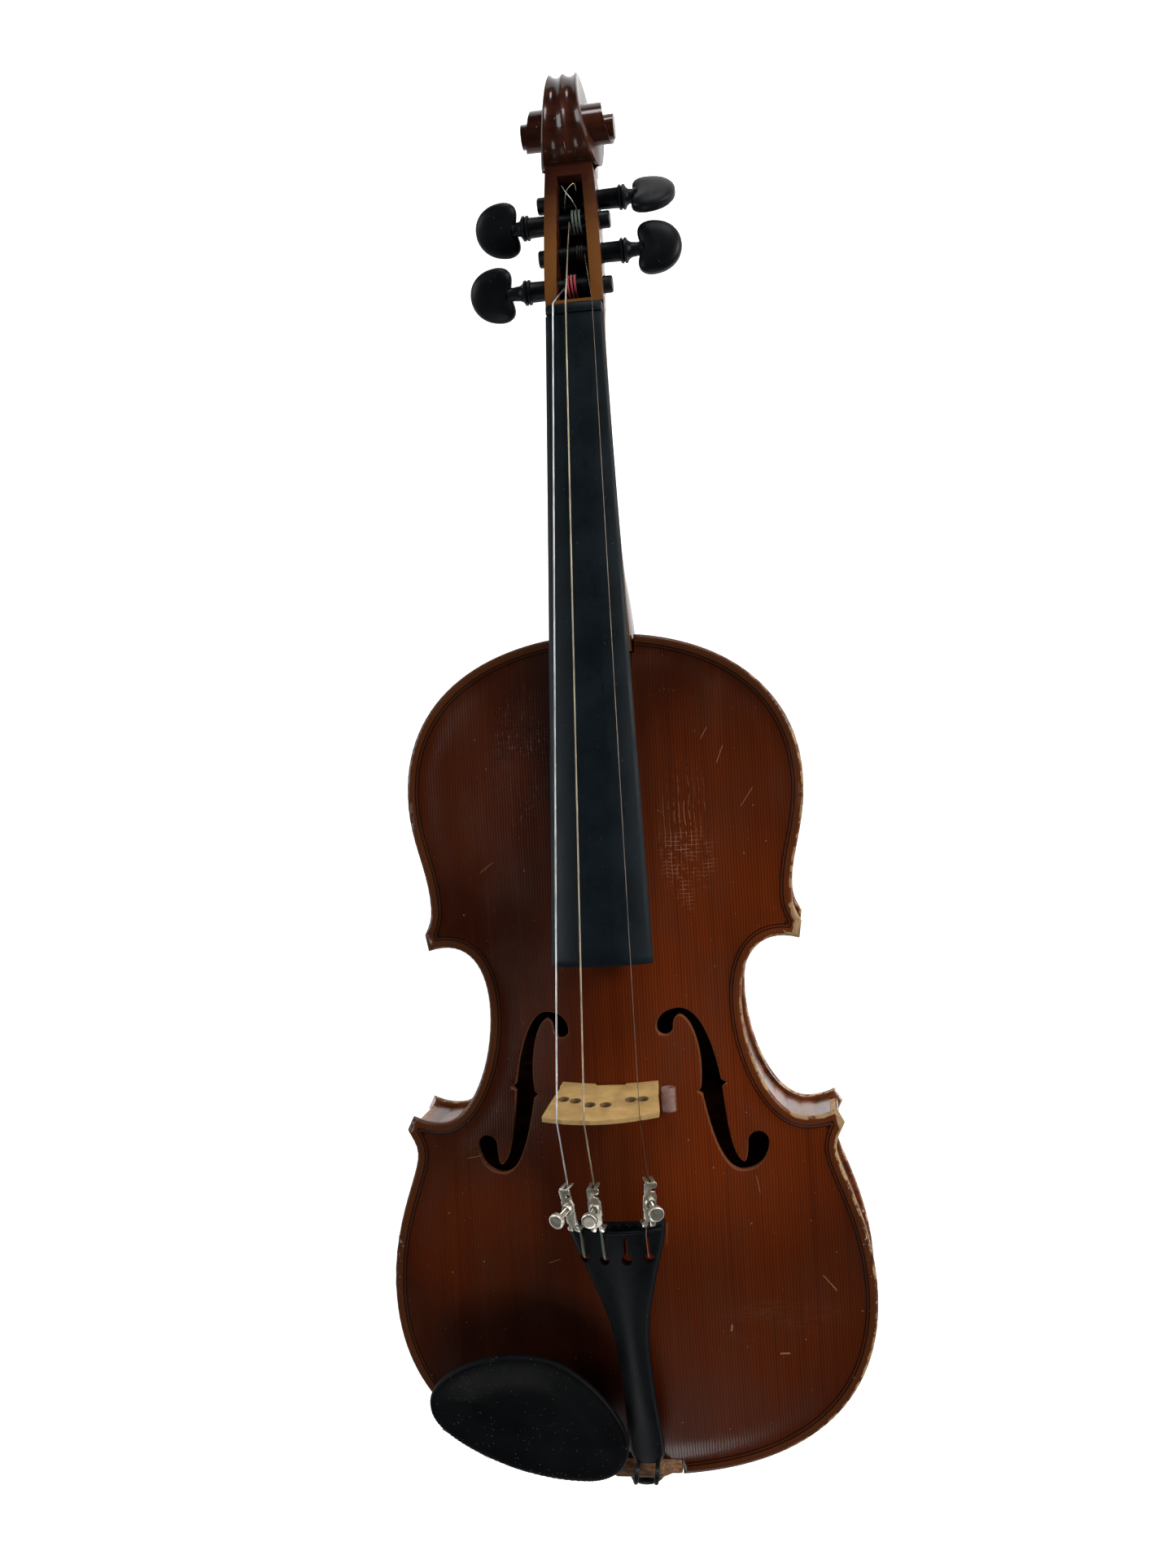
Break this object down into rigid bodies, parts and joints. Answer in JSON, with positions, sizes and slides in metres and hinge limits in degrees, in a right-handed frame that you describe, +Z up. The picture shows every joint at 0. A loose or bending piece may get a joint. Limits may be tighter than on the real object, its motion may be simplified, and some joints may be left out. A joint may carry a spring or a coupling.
{
  "type": "violin",
  "caption": "Full-size violin in red-brown varnish with ebony-black fittings, clip-on string adjusters and a clamped chin rest, lying on its back.",
  "frame": {"origin": "middle of the footprint, at the lowest point of the arched back", "axes": "+X towards the treble side, +Y from the end button towards the scroll, +Z up through the belly"},
  "size_m": [0.2042, 0.6014, 0.1015],
  "materials": {
    "spruce": "red-brown gloss varnish over spruce",
    "maple": "dark red-brown gloss varnish over maple",
    "bare_wood": "unfinished",
    "bridge_maple": "unfinished, fine flecks",
    "saddle_wood": "worn hardwood",
    "ebony": "black satin",
    "black_plastic": "black matte",
    "nickel": "nickel plate, slightly dull",
    "wound_string": "drawn metal",
    "cork": "cork",
    "clear_plastic": "clear, faintly pink"
  },
  "bodies": {
    "violin": {"top_plate": "spruce", "back_plate": "maple", "neck": "maple", "rib_upper_bass": "maple", "rib_upper_treble": "maple", "rib_middle_bass": "maple", "rib_middle_treble": "maple", "rib_lower_bass": "maple", "rib_lower_treble": "maple", "corner_block_upper_bass": "bare_wood", "corner_block_upper_treble": "bare_wood", "corner_block_lower_bass": "bare_wood", "corner_block_lower_treble": "bare_wood", "neck_block": "bare_wood", "tail_block": "bare_wood", "bass_bar": "bare_wood", "sound_post": "bare_wood", "lining_top_upper_bass": "bare_wood", "lining_top_upper_treble": "bare_wood", "lining_top_lower_bass": "bare_wood", "lining_top_lower_treble": "bare_wood", "lining_back_upper_bass": "bare_wood", "lining_back_upper_treble": "bare_wood", "lining_back_lower_bass": "bare_wood", "lining_back_lower_treble": "bare_wood", "bridge": "bridge_maple", "saddle": "saddle_wood", "fingerboard": "ebony", "nut": "ebony", "tailpiece": "ebony", "tailpiece_fret": "ebony", "end_button": "ebony", "chin_rest": "black_plastic", "tailgut": "black_plastic", "tuner_g_frame": "nickel", "tuner_d_frame": "nickel", "tuner_e_frame": "nickel", "clamp_upper": "nickel", "string_g": "wound_string", "string_d": "wound_string", "string_e": "wound_string", "chin_rest_cork": "cork", "string_sleeve": "clear_plastic"},
    "peg_g": {"peg_g": "ebony"},
    "peg_e": {"peg_e": "ebony"},
    "peg_d": {"peg_d": "ebony"},
    "peg_a": {"peg_a": "ebony"},
    "tuner_g_slide": {"tuner_g_screw": "nickel", "tuner_g_shoe": "nickel"},
    "tuner_g_head": {"tuner_g_knob": "nickel"},
    "tuner_d_slide": {"tuner_d_screw": "nickel", "tuner_d_shoe": "nickel"},
    "tuner_d_head": {"tuner_d_knob": "nickel"},
    "tuner_e_slide": {"tuner_e_screw": "nickel", "tuner_e_shoe": "nickel"},
    "tuner_e_head": {"tuner_e_knob": "nickel"},
    "clamp_foot": {"clamp_lower": "nickel", "clamp_cork": "cork"},
    "barrel_1": {"clamp_barrel_1": "nickel"},
    "barrel_2": {"clamp_barrel_2": "nickel"}
  },
  "joints": [
    {"name": "peg_g_turn", "type": "hinge", "parent": "violin", "child": "peg_g", "pos_m": [0, 0.2115, 0.0335], "axis": [-1, 0, 0], "continuous": true},
    {"name": "peg_e_turn", "type": "hinge", "parent": "violin", "child": "peg_e", "pos_m": [0, 0.2254, 0.0315], "axis": [1, 0, 0], "continuous": true},
    {"name": "peg_d_turn", "type": "hinge", "parent": "violin", "child": "peg_d", "pos_m": [0, 0.24, 0.0292], "axis": [-1, 0, 0], "continuous": true},
    {"name": "peg_a_turn", "type": "hinge", "parent": "violin", "child": "peg_a", "pos_m": [0, 0.2491, 0.0275], "axis": [1, 0, 0], "continuous": true},
    {"name": "tuner_g_travel", "type": "slide", "parent": "violin", "child": "tuner_g_slide", "axis": [-0.3683, -0.2411, 0.8979], "range_m": [0, 0.00098]},
    {"name": "tuner_g_turn", "type": "hinge", "parent": "tuner_g_slide", "child": "tuner_g_head", "pos_m": [-0.01576, -0.16154, 0.08571], "axis": [-0.3683, -0.2411, 0.8979], "range_deg": [0, 504.1]},
    {"name": "tuner_d_travel", "type": "slide", "parent": "violin", "child": "tuner_d_slide", "axis": [-0.0983, -0.199, 0.9751], "range_m": [0, 0.00098]},
    {"name": "tuner_d_turn", "type": "hinge", "parent": "tuner_d_slide", "child": "tuner_d_head", "pos_m": [-0.00566, -0.16092, 0.0879], "axis": [-0.0983, -0.199, 0.9751], "range_deg": [0, 504.1]},
    {"name": "tuner_e_travel", "type": "slide", "parent": "violin", "child": "tuner_e_slide", "axis": [0.3613, -0.1886, 0.9132], "range_m": [0, 0.00098]},
    {"name": "tuner_e_turn", "type": "hinge", "parent": "tuner_e_slide", "child": "tuner_e_head", "pos_m": [0.01424, -0.15952, 0.08581], "axis": [0.3613, -0.1886, 0.9132], "range_deg": [0, 504.1]},
    {"name": "barrel_1_turn", "type": "hinge", "parent": "violin", "child": "barrel_1", "pos_m": [-0.08087, -0.26846, 0.0305], "axis": [0, 0, 1], "range_deg": [0, 675.5]},
    {"name": "barrel_2_turn", "type": "hinge", "parent": "violin", "child": "barrel_2", "pos_m": [-0.06396, -0.27915, 0.0305], "axis": [0, 0, 1], "range_deg": [0, 675.5]},
    {"name": "clamp_travel", "type": "slide", "parent": "violin", "child": "clamp_foot", "axis": [0, 0, -1], "range_m": [0, 0.003]}
  ],
  "couplings": [
    {"joint": "tuner_g_turn", "follows": "tuner_g_travel", "rad_per_m": 8976},
    {"joint": "tuner_d_turn", "follows": "tuner_d_travel", "rad_per_m": 8976},
    {"joint": "tuner_e_turn", "follows": "tuner_e_travel", "rad_per_m": 8976},
    {"joint": "barrel_1_turn", "follows": "clamp_travel", "rad_per_m": 3927},
    {"joint": "barrel_2_turn", "follows": "clamp_travel", "rad_per_m": 3927}
  ]
}
